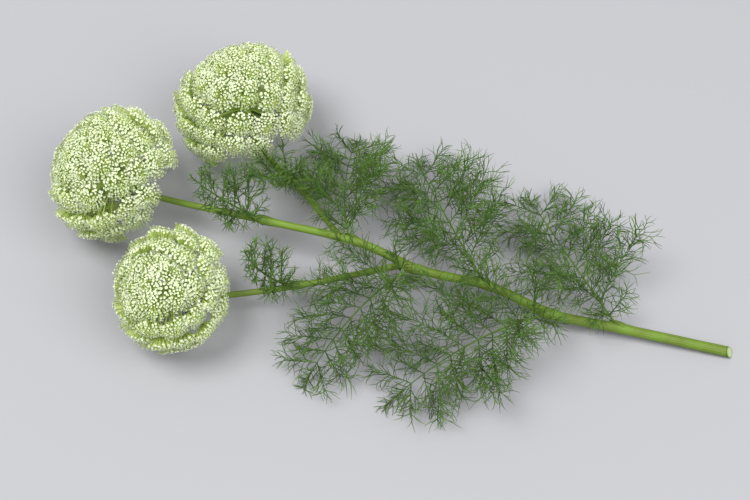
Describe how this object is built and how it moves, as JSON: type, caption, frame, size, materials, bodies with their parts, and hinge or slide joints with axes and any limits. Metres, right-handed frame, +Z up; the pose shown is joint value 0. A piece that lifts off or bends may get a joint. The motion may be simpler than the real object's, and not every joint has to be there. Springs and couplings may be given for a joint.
{
  "type": "toothpick weed cut flower stem",
  "caption": "Branched cut flower stem lying down, with domed compound umbels of tiny white florets on green rays and feathery thread-like leaves.",
  "frame": {"origin": "centre of the box round the lying stem, at the height of the surface it lies on", "axes": "+X along the stem towards its cut end, +Z up from the surface"},
  "size_m": [0.5622, 0.285, 0.1077],
  "materials": {
    "stem": "fresh green stem, smooth with fine ribs",
    "umbel": "matte greenish white florets on yellow-green rays",
    "leaf": "matte dark green threads"
  },
  "bodies": {
    "root": {"stem": "stem", "umbel_end": "umbel", "umbel_left": "umbel", "umbel_right": "umbel", "leaf_1": "leaf", "leaf_2": "leaf", "leaf_3": "leaf", "leaf_4": "leaf", "leaf_5": "leaf", "leaf_6": "leaf", "leaf_7": "leaf", "leaf_8": "leaf"}
  },
  "joints": []
}
